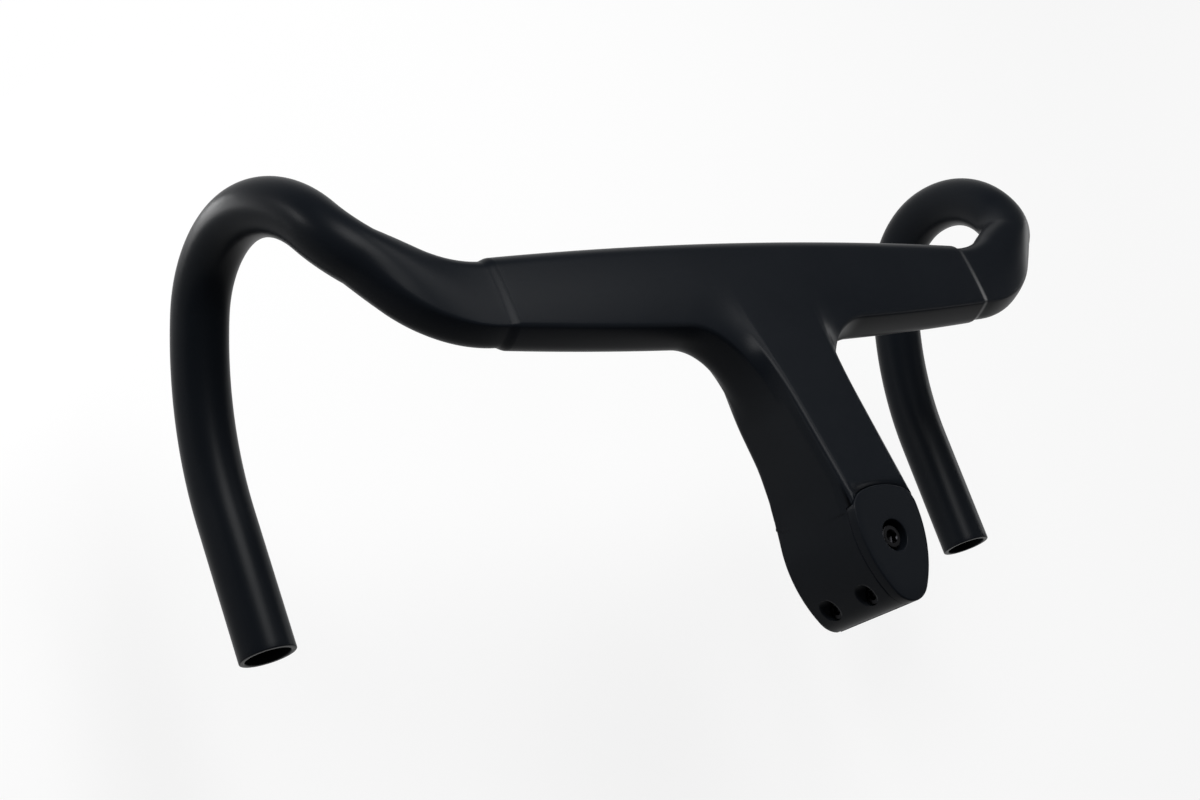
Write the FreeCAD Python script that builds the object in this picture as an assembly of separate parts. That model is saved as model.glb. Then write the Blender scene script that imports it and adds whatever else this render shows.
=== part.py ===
import FreeCAD, Part

# Road handlebar with its stem: wing tops, round drops, stem and steerer clamp are one moulding,
# closed on the steerer by two screws and topped by an egg-shaped cap.
# Millimetres. Origin on the steerer axis at the clamp's lower face, +X to the rider's right,
# +Y forwards, +Z up the steerer.

import os
from math import acos, atan2, ceil, cos, degrees, pi, radians, sin, sqrt, tan

from FreeCAD import Rotation, Vector

X, Y, Z = Vector(1, 0, 0), Vector(0, 1, 0), Vector(0, 0, 1)

# Steerer clamp, an egg in plan
STEERER_D = 28.6
CLAMP_HEIGHT = 43.0         # lower face to the cap's seat
CLAMP_FRONT = 21.8          # steerer axis to the egg's front
CLAMP_REAR = 28.0           # steerer axis to the egg's back
EGG_REAR_R = 11.5
EGG_FLANK_R = 51.0
EGG_CORNER_R = 9.0
EGG_CORNER_OUT = 9.5        # middle plane to the centre of a front corner
EGG_FRONT_R = 40.0
BAND_HEIGHT = 18.0          # each of the two bands that grip the steerer
BAND_RELIEF = 0.8           # depth of the groove between the bands
SLOT = 2.0                  # split at the back
CLAMP_CHAMFER = 0.8         # lower rim of the clamp

# Clamp screws and the barrels that they turn into, across the slot
SCREW_D = 5.0
SCREW_HEAD_D = 8.5
SCREW_HEAD_H = 4.0
SCREW_SOCKET = 4.0          # across flats
SCREW_SOCKET_DEPTH = 2.2
SCREW_SPACING = 22.0
SCREW_BACK = 20.0           # steerer axis to the screws' axes
SCREW_LAND = 2.5            # wall between the slot and the head's seat
BARREL_D = 8.0
BARREL_LENGTH = 4.2
SCREW_CLEARANCE = 0.3       # all round a shank or head in its hole
THREAD_CLEARANCE = 0.05

# Cap and its screw
CAP_THICKNESS = 4.5
CAP_CHAMFER = 0.8
CAP_REVEAL = 0.4            # gap round the cap's front
CAP_STAND = 0.8             # how far the cap stands above the stem's top
SPIGOT_CLEARANCE = 0.4
SPIGOT_DEPTH = 6.5
CAP_SCREW_D = 6.0
CAP_SCREW_LENGTH = 20.0     # under the head
CAP_HEAD_D = 10.0
CAP_HEAD_H = 5.0
CAP_SOCKET = 5.0            # across flats
CAP_SOCKET_DEPTH = 2.8
CAP_RECESS_D = 13.4
CAP_RECESS = 2.0            # top of the cap to the top of the screw's head

# Tops: a wing section, given in the middle plane and at the tape step. Its rear rises to a crease,
# leans back from it and tucks under; each corner is joined to the next by a crown.
STEM_REACH = 122.4          # steerer axis to the middle of the chord
TOPS_HEIGHT = 9.5           # clamp's lower face to the middle of the wing
CHORD_MIDDLE = 47.7
CHORD_END = 38.8
DEPTH_MIDDLE = 21.0         # height of the rear
DEPTH_END = 19.2
NOSE_R_MIDDLE = 8.5
NOSE_R_END = 8.0
RISE_MIDDLE = 4.5           # middle of the rear above the nose's centre
RISE_END = 2.9
CREASE_R = 2.5
CREASE_SETBACK = 6.8        # wing's back to the crease's centre
TUCK_R = 7.5
REAR_CROWN_R = 45.0
UNDER_CROWN_R = 120.0
TOP_CROWN_R = 180.0
TOPS_SWEEP = 0.3            # how far the wing lies forwards at the tape step
BARE_HALF = 136.4           # middle plane to the tape step
TAPE_STEP = 1.4
TAPE_STEP_WIDTH = 5.6

# Drops: a tube bent in turn along runs and arcs; a bend rolls its plane about the tube, then turns
TUBE_D = 24.0
WALL = 2.4                  # round the open ends
SWEEP_R, SWEEP_ANGLE, SWEEP_ROLL_ANGLE = 51.0, 41.5, -17.0      # tops to ramp
RAMP_RUN = 19.5
RAMP_R, RAMP_ANGLE, RAMP_ROLL_ANGLE = 30.0, 41.5, -25.5         # ramp to forwards
HOOK_R, HOOK_ANGLE, HOOK_ROLL_ANGLE = 51.0, 57.0, -70.0         # forwards to down
HEEL_R, HEEL_ANGLE, HEEL_ROLL_ANGLE = 45.5, 62.5, -11.0         # down to backwards
DROP_R, DROP_ANGLE, DROP_ROLL_ANGLE = 152.0, 32.0, 3.0          # long bend of the drop
GRIP_LENGTH = 60.0          # straight end of the drop, bored through its length
BEND_SAG = 0.2              # how far a bend's outside may lie inside its true arc

# Stem, between the clamp and the tops
STEM_START = 6.0            # in front of the steerer axis, inside the clamp
STEM_HALF_REAR = 17.6       # half width of the top face at its start
STEM_HALF_FRONT = 20.6      # and at the tops
STEM_SHOULDER = 0.5         # how far the sides bulge past the top's ridges
STEM_SHOULDER_DROP = 6.0    # and how far below them
STEM_SHOULDER_R = 12.0
STEM_DRAFT = 1.6            # how much narrower the underside is, each side
STEM_RIDGE_R = 3.0
STEM_UNDER_R = 4.0
STEM_UNDER_REAR = 2.0       # underside above the clamp's lower face, where it leaves the clamp
STEM_UNDER_ANGLE = 10.0     # fall of the underside
STEM_UPTURN = 30.0          # length of the underside's rise into the tops
STEM_SINK = 1.2             # depth at which it ends inside the tops
GUSSET_R = 36.0             # fillet between the stem's sides and the tops, in plan
GUSSET_ANGLE = 80.0         # turn of that fillet, which ends inside the stem
GUSSET_DEPTH = 29.0         # height of its rear against the stem
GUSSET_SINK = 0.6           # depth at which its ends lie in the stem and the tops

# Sections along each loft
TOPS_STEPS = 2              # each half
UPTURN_STEPS = 4
GUSSET_STEPS = 5

REAR, UNDER, TOP = range(3)


def heading(vector):
    return atan2(vector.y, vector.x)


def arc(centre, radius, start, end):
    """Edge of a circle in the XY plane, counter-clockwise, between two angles in radians."""
    turn = (end - start) % (2 * pi)
    angles = (start, start + turn / 2, start + turn)
    return Part.Arc(*(centre + Vector(cos(a), sin(a)) * radius for a in angles)).toShape()


def cylinder(diameter, start, end, axis=Z):
    """Solid cylinder from one point to another along the axis."""
    return Part.makeCylinder(diameter / 2, (end - start).dot(axis), start, axis)


def mirrored(shape):
    """The like shape on the left."""
    return shape.mirror(Vector(), X)


def crown_arcs(corners, crowns):
    """Arcs that each hold two neighbouring round corners inside them, corners counter-clockwise."""
    arcs = []
    for (centre, radius), (other, other_r), crown in zip(corners, corners[1:] + corners[:1], crowns):
        gap = centre.distanceToPoint(other)
        along = (other - centre).normalize()
        near, far = crown - radius, crown - other_r
        foot = (near ** 2 - far ** 2 + gap ** 2) / (2 * gap)
        middle = centre + along * foot + Vector(-along.y, along.x) * sqrt(near ** 2 - foot ** 2)
        arcs.append((middle, crown, heading(centre - middle), heading(other - middle)))
    return arcs


def crowned(corners, crowns):
    """Closed wire of round corners joined by crowns."""
    arcs = crown_arcs(corners, crowns)
    edges = []
    for i, (centre, radius) in enumerate(corners):
        edges += [arc(centre, radius, arcs[i - 1][3], arcs[i][2]), arc(*arcs[i])]
    return Part.Wire(edges)


def egg(inset=0.0):
    """Face of the clamp's plan: one round end at the back, two corners at the front."""
    front = Vector(0, CLAMP_FRONT - EGG_FRONT_R)
    corner_y = front.y + sqrt((EGG_FRONT_R - EGG_CORNER_R) ** 2 - EGG_CORNER_OUT ** 2)
    corners = [
        (Vector(0, EGG_REAR_R - CLAMP_REAR), EGG_REAR_R - inset),
        (Vector(EGG_CORNER_OUT, corner_y), EGG_CORNER_R - inset),
        (Vector(-EGG_CORNER_OUT, corner_y), EGG_CORNER_R - inset),
    ]
    crowns = [radius - inset for radius in (EGG_FLANK_R, EGG_FRONT_R, EGG_FLANK_R)]
    return Part.Face(crowned(corners, crowns))


WING_MIDDLE = [
    CHORD_MIDDLE, DEPTH_MIDDLE, NOSE_R_MIDDLE, RISE_MIDDLE, CREASE_R, CREASE_SETBACK, TUCK_R,
    REAR_CROWN_R, UNDER_CROWN_R, TOP_CROWN_R,
]
WING_END = [
    CHORD_END, DEPTH_END, NOSE_R_END, RISE_END, CREASE_R, CREASE_SETBACK, TUCK_R,
    REAR_CROWN_R, UNDER_CROWN_R, TOP_CROWN_R,
]
# just outside the tape step, where the skin lies deeper all round
WING_TAPED = [size - TAPE_STEP * sides for size, sides in zip(WING_END, (2, 2, 1, 0, 1, 1, 1, 1, 1, 1))]
ROUND = [TUBE_D, TUBE_D, TUBE_D / 2, 0.0] + [TUBE_D / 2] * 6


def between(first, last, share):
    """Sizes of a section part of the way between two; the crowns, at the end, go by curvature."""
    lengths = [a + (b - a) * share for a, b in zip(first[:-3], last[:-3])]
    crowns = [1 / (1 / a + (1 / b - 1 / a) * share) for a, b in zip(first[-3:], last[-3:])]
    return lengths + crowns


def corners(chord, depth, nose_r, rise, crease_r, setback, tuck_r):
    """Crease, tuck and nose of a wing section, with the middle of its chord at the origin."""
    return [
        (Vector(setback - chord / 2, (rise + depth) / 2 - crease_r), crease_r),
        (Vector(tuck_r - chord / 2, (rise - depth) / 2 + tuck_r), tuck_r),
        (Vector(chord / 2 - nose_r, -rise / 2), nose_r),
    ]


def section(sizes):
    return crowned(corners(*sizes[:-3]), sizes[-3:])


def ring():
    """The round tube's section, in arcs that follow the wing's."""
    turns = [radians(angle) for angle in (100, 155, 190, 265, 280, 435, 460)]
    return Part.Wire([arc(Vector(), TUBE_D / 2, *turns[i:i + 2]) for i in range(6)])


def placed(wire, point, along, nose):
    """The section set across a direction, with its nose turned to another."""
    wire.Placement = FreeCAD.Placement(point, Rotation(nose, along.cross(nose), along, "XYZ"))
    return wire


def wing(share):
    """Section of the tops, share 0 in the middle plane and 1 or -1 at a tape step."""
    place = Vector(BARE_HALF * share, STEM_REACH + TOPS_SWEEP * share ** 2, TOPS_HEIGHT)
    return placed(section(between(WING_MIDDLE, WING_END, share ** 2)), place, X, Y)


def wing_height(y, crown):
    """Height of the tops' upper or under crown in the middle plane."""
    centre, radius, *_ = crown_arcs(corners(*WING_MIDDLE[:-3]), WING_MIDDLE[-3:])[crown]
    rise = sqrt(radius ** 2 - (y - STEM_REACH - centre.x) ** 2)
    return TOPS_HEIGHT + centre.y + (rise if crown == TOP else -rise)


def drop_line():
    """Stations of the right drop from the tape step to its end: distance, point, direction, nose."""
    point = Vector(BARE_HALF + TAPE_STEP_WIDTH, STEM_REACH + TOPS_SWEEP, TOPS_HEIGHT)
    along, nose, inward, distance = X, Y, Y, 0.0
    stations = [(distance, point, along, nose)]
    for run, radius, angle, roll in (
        (0.0, SWEEP_R, SWEEP_ANGLE, SWEEP_ROLL_ANGLE),
        (RAMP_RUN, RAMP_R, RAMP_ANGLE, RAMP_ROLL_ANGLE),
        (0.0, HOOK_R, HOOK_ANGLE, HOOK_ROLL_ANGLE),
        (0.0, HEEL_R, HEEL_ANGLE, HEEL_ROLL_ANGLE),
        (0.0, DROP_R, DROP_ANGLE, DROP_ROLL_ANGLE),
    ):
        if run:
            point, distance = point + along * run, distance + run
            stations.append((distance, point, along, nose))
        inward = Rotation(along, roll).multVec(inward)
        steps = ceil(angle / degrees(2 * acos(1 - BEND_SAG / (radius + TUBE_D / 2))))
        turn = Rotation(along.cross(inward), angle / steps)
        for _ in range(steps):
            centre = point + inward * radius
            point = centre + turn.multVec(point - centre)
            along, nose, inward = (turn.multVec(v) for v in (along, nose, inward))
            distance += radians(angle / steps) * radius
            stations.append((distance, point, along, nose))
    stations.append((distance + GRIP_LENGTH, point + along * GRIP_LENGTH, along, nose))
    return stations


def drop():
    """Right drop: down the tape step, from the wing to the round along the ramp, and on to its end."""
    length = radians(SWEEP_ANGLE) * SWEEP_R + RAMP_RUN
    ramp, tube = [wing(1)], []
    for distance, *place in drop_line():
        share = (distance / length) ** 2
        if share < 1:
            ramp.append(placed(section(between(WING_TAPED, ROUND, share)), *place))
            continue
        if not tube:
            ramp.append(placed(ring(), *place))
        tube.append(placed(Part.Wire(Part.makeCircle(TUBE_D / 2)), *place))
    return Part.makeLoft(ramp, True, True).fuse(Part.makeLoft(tube, True, True))


def rounded(points, radii):
    """Closed wire through corners given in turn, each rounded by its radius."""
    ends = []
    for i, (corner, radius) in enumerate(zip(points, radii)):
        back = (points[i - 1] - corner).normalize()
        on = (points[(i + 1) % len(points)] - corner).normalize()
        half = back.getAngle(on) / 2
        middle = corner + (back + on).normalize() * (radius / sin(half) - radius)
        reach = radius / tan(half)
        ends.append((corner + back * reach, middle, corner + on * reach))
    edges = []
    for i, (start, middle, end) in enumerate(ends):
        edges.append(Part.Arc(start, middle, end).toShape())
        edges.append(Part.LineSegment(end, ends[(i + 1) % len(ends)][0]).toShape())
    return Part.Wire(edges)


STEM_END = STEM_REACH + NOSE_R_MIDDLE           # where the stem ends, inside the tops
UPTURN_START = STEM_REACH - STEM_UPTURN


def stem_top(y):
    """Height of the stem's top, a straight fall from beside the cap to the middle of the tops."""
    rear, front = CLAMP_HEIGHT + CAP_THICKNESS - CAP_STAND, wing_height(STEM_REACH, TOP)
    return rear + (front - rear) * (y - CLAMP_FRONT) / (STEM_REACH - CLAMP_FRONT)


def stem_under(y):
    """Height of the stem's underside, a straight fall that turns up into the tops."""
    def fall(at):
        return STEM_UNDER_REAR - tan(radians(STEM_UNDER_ANGLE)) * (at - CLAMP_FRONT)

    if y <= UPTURN_START:
        return fall(y)
    rise = wing_height(STEM_END, UNDER) + STEM_SINK - fall(STEM_END)
    return fall(y) + rise * ((y - UPTURN_START) / (STEM_END - UPTURN_START)) ** 2


def stem_half(y):
    """Half width of the stem's top face."""
    share = (y - STEM_START) / (STEM_REACH - STEM_START)
    return STEM_HALF_REAR + (STEM_HALF_FRONT - STEM_HALF_REAR) * share


def stem_section(y):
    """Section of the stem across Y: flat top, shoulder under each ridge, sides drawn in below."""
    half = stem_half(y)
    right = [
        (Vector(half - STEM_DRAFT, y, stem_under(y)), STEM_UNDER_R),
        (Vector(half + STEM_SHOULDER, y, stem_top(y) - STEM_SHOULDER_DROP), STEM_SHOULDER_R),
        (Vector(half, y, stem_top(y)), STEM_RIDGE_R),
    ]
    left = [(Vector(-p.x, y, p.z), r) for p, r in reversed(right)]
    return rounded(*zip(*(right + left)))


def stem():
    """Loft from inside the clamp into the tops."""
    upturn = [
        UPTURN_START + (STEM_END - UPTURN_START) * i / UPTURN_STEPS for i in range(UPTURN_STEPS + 1)
    ]
    return Part.makeLoft([stem_section(y) for y in [STEM_START, *upturn]], True, True)


def gusset():
    """Fillet between the stem's right side and the tops: wing sections that reach back and deepen
    along a quarter circle in plan, from inside the tops to inside the stem."""
    front = STEM_REACH + CHORD_MIDDLE / 2 - NOSE_R_MIDDLE
    back = STEM_REACH - CHORD_MIDDLE / 2 + GUSSET_SINK
    outer = stem_half(back - GUSSET_R) - STEM_DRAFT - GUSSET_SINK + GUSSET_R
    sections = []
    for i in range(GUSSET_STEPS + 1):
        turn = radians(GUSSET_ANGLE * i / GUSSET_STEPS)
        reach = GUSSET_R * (1 - cos(turn))
        depth = DEPTH_MIDDLE + (GUSSET_DEPTH - DEPTH_MIDDLE) * reach / GUSSET_R - 2 * GUSSET_SINK
        sizes = [front - back + reach, depth, NOSE_R_MIDDLE - GUSSET_SINK, *WING_MIDDLE[3:]]
        middle = Vector(outer - GUSSET_R * sin(turn), (front + back - reach) / 2, TOPS_HEIGHT)
        sections.append(placed(section(sizes), middle, X, Y))
    return Part.makeLoft(sections, True, True)


def hexagon(flats, centre, axis, depth):
    """Six-sided prism from a point along an axis."""
    rim = [Vector(cos(k * pi / 3), sin(k * pi / 3)) * (flats / sqrt(3)) for k in range(7)]
    prism = Part.Face(Part.makePolygon(rim)).extrude(Z * depth)
    prism.Placement = FreeCAD.Placement(centre, Rotation(Z, axis))
    return prism


def socket_screw(diameter, length, head_d, head_h, flats, depth, seat, axis):
    """Socket screw with its head's underside at the seat and its shank along the axis."""
    top = seat - axis * head_h
    shank = cylinder(diameter, seat, seat + axis * length, axis)
    return cylinder(head_d, top, seat, axis).fuse(shank).cut(hexagon(flats, top, axis, depth))


SEAT_X = SLOT / 2 + SCREW_LAND                  # of the screws' heads on one side, barrels on the other
CLAMP_AXES = [
    Vector(0, -SCREW_BACK, CLAMP_HEIGHT / 2 + side * SCREW_SPACING / 2) for side in (-1, 1)
]
CAP_TOP = CLAMP_HEIGHT + CAP_THICKNESS
CAP_SEAT = CAP_TOP - CAP_RECESS - CAP_HEAD_H    # under the cap screw's head
SPIGOT_END = CLAMP_HEIGHT - SPIGOT_DEPTH
FAR = 2 * CLAMP_REAR                            # past the clamp on any side


def clamp_cuts():
    """Cap seat, steerer bore, slot and screw holes."""
    seat = egg(-CAP_REVEAL).extrude(Z * FAR)
    seat.translate(Z * CLAMP_HEIGHT)
    cuts = [
        seat,
        cylinder(STEERER_D, Vector(), Z * CLAMP_HEIGHT),
        cylinder(STEERER_D + 2 * BAND_RELIEF, Z * BAND_HEIGHT, Z * (CLAMP_HEIGHT - BAND_HEIGHT)),
        Part.makeBox(SLOT, FAR, CLAMP_HEIGHT, Vector(-SLOT / 2, -FAR, 0)),
    ]
    for axis in CLAMP_AXES:
        left, right = axis - X * SEAT_X, axis + X * SEAT_X
        cuts += [
            cylinder(SCREW_D + 2 * SCREW_CLEARANCE, left, right, X),
            cylinder(SCREW_HEAD_D + 2 * SCREW_CLEARANCE, left - X * FAR, left, X),
            cylinder(BARREL_D + 2 * SCREW_CLEARANCE, right, right + X * FAR, X),
        ]
    return cuts


def body():
    """Tops, drops, stem and clamp in one."""
    tops = Part.makeLoft([wing(i / TOPS_STEPS) for i in range(-TOPS_STEPS, TOPS_STEPS + 1)], True, True)
    clamp = egg().extrude(Z * CLAMP_HEIGHT)
    rim = [edge for edge in clamp.Edges if edge.BoundBox.ZMax < CLAMP_CHAMFER]
    pairs = [drop(), gusset()]
    solid = tops.multiFuse([
        *pairs, *(mirrored(half) for half in pairs), stem(), clamp.makeChamfer(CLAMP_CHAMFER, rim)])
    _, end, along, _ = drop_line()[-1]
    bore = cylinder(TUBE_D - 2 * WALL, end - along * GRIP_LENGTH, end + along * WALL, along)
    return solid.cut([bore, mirrored(bore), *clamp_cuts()]).removeSplitter()


def cap():
    """Egg-shaped plate with a spigot in the top of the clamp and a recess for its screw."""
    plate = egg().extrude(Z * CAP_THICKNESS)
    plate.translate(Z * CLAMP_HEIGHT)
    rim = [edge for edge in plate.Edges if edge.BoundBox.ZMin > CAP_TOP - CAP_CHAMFER]
    spigot = cylinder(STEERER_D - 2 * SPIGOT_CLEARANCE, Z * SPIGOT_END, Z * CLAMP_HEIGHT)
    recess = cylinder(CAP_RECESS_D, Z * CAP_SEAT, Z * CAP_TOP)
    hole = cylinder(CAP_SCREW_D + 2 * SCREW_CLEARANCE, Z * SPIGOT_END, Z * CAP_SEAT)
    return plate.makeChamfer(CAP_CHAMFER, rim).fuse(spigot).cut([recess, hole]).removeSplitter()


def cap_screw():
    return socket_screw(
        CAP_SCREW_D, CAP_SCREW_LENGTH, CAP_HEAD_D, CAP_HEAD_H, CAP_SOCKET, CAP_SOCKET_DEPTH,
        Z * CAP_SEAT, -Z)


def clamp_screws():
    """Two alike, with their heads in the clamp's left side."""
    length = 2 * SEAT_X + BARREL_LENGTH
    return Part.makeCompound([
        socket_screw(
            SCREW_D, length, SCREW_HEAD_D, SCREW_HEAD_H, SCREW_SOCKET, SCREW_SOCKET_DEPTH,
            axis - X * SEAT_X, X)
        for axis in CLAMP_AXES
    ])


def clamp_barrels():
    """Two alike, threaded, in the clamp's right side."""
    barrels = []
    for axis in CLAMP_AXES:
        start = axis + X * SEAT_X
        end = start + X * BARREL_LENGTH
        thread = cylinder(SCREW_D + 2 * THREAD_CLEARANCE, start, end, X)
        barrels.append(cylinder(BARREL_D, start, end, X).cut(thread))
    return Part.makeCompound(barrels)


NODES = {
    "bar_stem_body": body,
    "top_cap": cap,
    "cap_screw": cap_screw,
    "clamp_screws": clamp_screws,
    "clamp_barrels": clamp_barrels,
}

if __name__ == "__main__":
    os.makedirs("parts", exist_ok=True)
    for name, make in NODES.items():
        shape = make()
        print(name, len(shape.Solids), "valid" if shape.isValid() else "INVALID", round(shape.Volume, 1))
        shape.exportStep(f"parts/{name}.step")
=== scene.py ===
from math import atan2, ceil, cos, pi, radians, sin, sqrt, tan

import bmesh
import bpy
from mathutils import Matrix, Quaternion, Vector


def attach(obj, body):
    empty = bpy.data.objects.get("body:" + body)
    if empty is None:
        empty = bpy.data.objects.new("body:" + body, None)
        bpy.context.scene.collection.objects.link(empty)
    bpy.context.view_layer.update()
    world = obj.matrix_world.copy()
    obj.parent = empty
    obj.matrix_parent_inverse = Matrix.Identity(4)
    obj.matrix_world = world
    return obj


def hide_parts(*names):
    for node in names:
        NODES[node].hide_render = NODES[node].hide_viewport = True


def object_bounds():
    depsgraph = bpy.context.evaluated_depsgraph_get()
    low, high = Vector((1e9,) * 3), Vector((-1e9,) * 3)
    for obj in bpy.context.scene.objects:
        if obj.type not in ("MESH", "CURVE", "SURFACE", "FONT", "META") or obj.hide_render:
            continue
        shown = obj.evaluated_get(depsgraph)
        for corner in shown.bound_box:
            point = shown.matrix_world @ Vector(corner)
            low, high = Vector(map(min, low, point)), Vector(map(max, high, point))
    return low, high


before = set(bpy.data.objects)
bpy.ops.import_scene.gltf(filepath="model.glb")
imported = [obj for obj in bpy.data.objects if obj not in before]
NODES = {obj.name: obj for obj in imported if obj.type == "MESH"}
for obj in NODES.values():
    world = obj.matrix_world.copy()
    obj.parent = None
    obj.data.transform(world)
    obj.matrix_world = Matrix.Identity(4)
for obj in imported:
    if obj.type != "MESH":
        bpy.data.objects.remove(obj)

bl_info = {
    "name": "Handlebar and stem",
    "version": (1, 0, 0),
    "blender": (4, 5, 0),
    "location": "View3D > Sidebar > Handlebar",
    "description": "Satin black one-piece handlebar and stem on its CAD frame, with a studio",
    "category": "Object",
}

CAD_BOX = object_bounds()
MM = 0.001

# Sizes that the shapes share with the solids, in millimetres
STEM_REACH, TOPS_HEIGHT, TOPS_SWEEP, BARE_HALF = 122.4, 9.5, 0.3, 136.4
TUBE_D, WALL, GRIP_LENGTH = 24.0, 2.4, 60.0
# chord, depth, nose, rise, crease, crease's setback, tuck, then the rear, under and top crowns
WING_MIDDLE = (47.7, 21.0, 8.5, 4.5, 2.5, 6.8, 7.5, 45.0, 120.0, 180.0)
WING_END = (38.8, 19.2, 8.0, 2.9, 2.5, 6.8, 7.5, 45.0, 120.0, 180.0)
ROUND = (TUBE_D, TUBE_D, TUBE_D / 2, 0.0, *[TUBE_D / 2] * 6)
STEP_SIDES = (2, 2, 1, 0, 1, 1, 1, 1, 1, 1)     # how often each size loses the tape step's depth
# straight run, then radius, angle and roll of the bend after it
RAMP_BEND = (0.0, 51.0, 41.5, -17.0)
TUBE_BENDS = (
    (19.5, 30.0, 41.5, -25.5), (0.0, 51.0, 57.0, -70.0), (0.0, 45.5, 62.5, -11.0), (0.0, 152.0, 32.0, 3.0))
STEM_START, STEM_HALF_REAR, STEM_HALF_FRONT = 6.0, 17.6, 20.6
STEM_SHOULDER, STEM_SHOULDER_DROP, STEM_SHOULDER_R, STEM_DRAFT = 0.5, 6.0, 12.0, 1.6
STEM_RIDGE_R, STEM_UNDER_R, STEM_UNDER_REAR, STEM_UNDER_ANGLE = 3.0, 4.0, 2.0, radians(10)
STEM_CUT = 26.0                                 # where the stem's skin is joined to the clamp
# where the stem's lower corner begins to square off and ends, then its height, radius and draft there
HEEL_START, HEEL_END, HEEL_HEIGHT, HEEL_R, HEEL_DRAFT = 50.0, 24.0, 0.3, 1.2, 0.3
CLAMP_HEIGHT, CLAMP_FRONT, CLAMP_REAR = 43.0, 21.8, 28.0
EGG_REAR_R, EGG_FLANK_R, EGG_FRONT_R = 11.5, 51.0, 40.0
EGG_CORNER_R, EGG_CORNER_OUT = 9.0, 9.5
CAP_THICKNESS, CAP_STAND, CAP_RIM, CAP_RECESS_R, CAP_SEAT, CAP_HOLE_R = 4.5, 0.8, 0.8, 6.7, 40.5, 3.3
SPIGOT_R, SPIGOT_END = 13.9, 36.5
# diameter, length, head's diameter and height, socket's width and depth, thread's pitch
CAP_SCREW = (6.0, 20.0, 10.0, 5.0, 5.0, 2.8, 1.0)
CLAMP_SCREW = (5.0, 11.2, 8.5, 4.0, 4.0, 2.2, 0.8)
SEAT_X, SCREW_BACK, SCREW_HEIGHTS = 3.5, 20.0, (10.5, 32.5)
BARREL_R, BARREL_LENGTH, BARREL_BORE_R = 4.0, 4.2, 2.55
# how near to a surface a point of the solid's mesh counts as on it, how long its edges may be and how
# near two of its points are one
ON_SKIN, MESH_STEP, SAME_POINT = 0.15, 1.2, 0.002
# relief of the paint, then pitch and relief of the metal's tool marks
PEEL_DEPTH, MARK_PITCH, MARK_DEPTH = 0.012, 0.3, 0.01
STEEL_ROUGHNESS, BARREL_ROUGHNESS = 0.28, 0.35

# Floor, world, lamps and camera, in metres
FLOOR_SIZE, FLOOR_TONE, FLOOR_ROUGHNESS, FLOOR_GLOW, WORLD_STRENGTH = 60, 0.85, 0.8, 0.8, 0.12
KEY_PLACE, KEY_TARGET, KEY_SIZE = (-0.25, 0.5, 0.8), (0, 0.08, 0), (0.5, 0.5)
# name, place, target, size, and power as a share of the edge lights' setting
LAMPS = (
    ("sheen", (0.25, 0.55, 0.55), (-0.2, 0.14, 0), (0.3, 0.3), 0.7),
    ("cap_sheen", (0.58, 0.13, 0.58), (0, 0.01, 0.05), (0.25, 0.25), 0.1),
    ("edge_low", (-0.3, 0.305, -0.205), (-0.218, 0.188, -0.05), (0.14, 0.04), 0.14),
    ("edge_rear", (0.95, -0.3, 0.5), (0, 0.08, 0), (0.25, 0.25), 0.4),
    ("edge_right", (1.1, 0.33, 0.05), (0, 0.08, 0), (0.3, 0.3), 0.5),
    ("edge_left", (-1.1, 0.75, 0.0), (0, 0.08, 0), (0.2, 0.3), 2.0),
)
CAMERA_PLACE = (-0.6610, -0.1251, 0.6514)
CAMERA_RIGHT, CAMERA_UP = (0.7657, -0.2711, 0.5832), (0.0623, 0.9338, 0.3523)


# Settings that a user would change

class ShapeSettings(bpy.types.PropertyGroup):
    """Sizes of the softer forms"""

    step_depth: bpy.props.FloatProperty(
        name="Tape step", description="How much deeper the skin lies where tape is wound",
        unit="LENGTH", min=0, max=0.003, default=0.0014)
    step_width: bpy.props.FloatProperty(
        name="Tape step width", description="Length of the slope down to the taped part",
        unit="LENGTH", min=0.001, max=0.02, default=0.0056)
    flare_start: bpy.props.FloatProperty(
        name="Flare start", description="Steerer axis to where the stem begins to flare into the tops",
        unit="LENGTH", min=0.04, max=0.09, default=0.062)
    flare_reach: bpy.props.FloatProperty(
        name="Flare reach", description="How far the flare runs out along the back of the tops",
        unit="LENGTH", min=0.005, max=0.06, default=0.030)
    edge_round: bpy.props.FloatProperty(
        name="Edge round", description="Rounding of the drop ends and of the cap's rim",
        unit="LENGTH", min=0.0001, max=0.001, default=0.0005)


class FinishSettings(bpy.types.PropertyGroup):
    """Colours and surface of the pieces"""

    skin_colour: bpy.props.FloatVectorProperty(
        name="Skin", description="Satin paint of the moulding and cap", subtype="COLOR",
        size=4, min=0, max=1, default=(0.0042, 0.0053, 0.0072, 1))
    skin_roughness: bpy.props.FloatProperty(
        name="Skin roughness", description="How far the satin paint spreads a reflection",
        subtype="FACTOR", min=0, max=1, default=0.35)
    skin_gloss: bpy.props.FloatProperty(
        name="Skin gloss", description="Strength of the satin paint's reflections",
        subtype="FACTOR", min=0, max=1, default=0.05)
    grain: bpy.props.FloatProperty(
        name="Paint grain", description="Size of the paint's fine texture",
        unit="LENGTH", min=0.0001, max=0.01, default=0.0006)
    steel_colour: bpy.props.FloatVectorProperty(
        name="Screw steel", description="Blackened steel of the screws", subtype="COLOR",
        size=4, min=0, max=1, default=(0.010, 0.010, 0.011, 1))
    barrel_colour: bpy.props.FloatVectorProperty(
        name="Barrel metal", description="Anodised metal of the threaded barrels", subtype="COLOR",
        size=4, min=0, max=1, default=(0.30, 0.30, 0.31, 1))


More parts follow.
